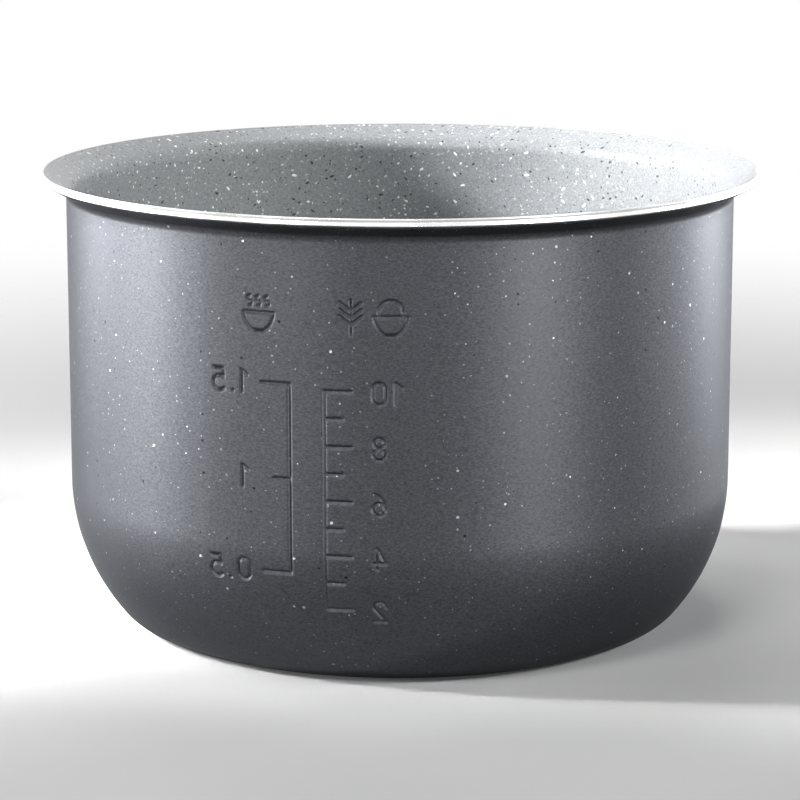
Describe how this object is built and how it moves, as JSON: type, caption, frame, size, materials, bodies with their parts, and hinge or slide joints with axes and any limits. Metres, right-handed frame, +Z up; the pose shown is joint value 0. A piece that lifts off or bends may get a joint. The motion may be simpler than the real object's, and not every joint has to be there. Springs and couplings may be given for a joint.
{
  "type": "rice cooker inner pot",
  "caption": "Round aluminium inner pot for a rice cooker: flared bare rim, straight wall, rounded belly, flecked coats and pressed fill scales.",
  "frame": {"origin": "centre of the base, on the surface that the pot stands on", "axes": "+Z up along the pot's axis, the fill scales face -Y (front), +X to the right seen from the front"},
  "size_m": [0.24, 0.24, 0.1532],
  "materials": {
    "bare_aluminium": "bright turned edge and base",
    "outer_coat": "satin dark metallic grey with fine pale flecks",
    "inner_coat": "satin pale grey stone effect with white and black flecks"
  },
  "bodies": {
    "root": {"pot_body": "bare_aluminium", "outer_coating": "outer_coat", "inner_coating": "inner_coat"}
  },
  "joints": []
}
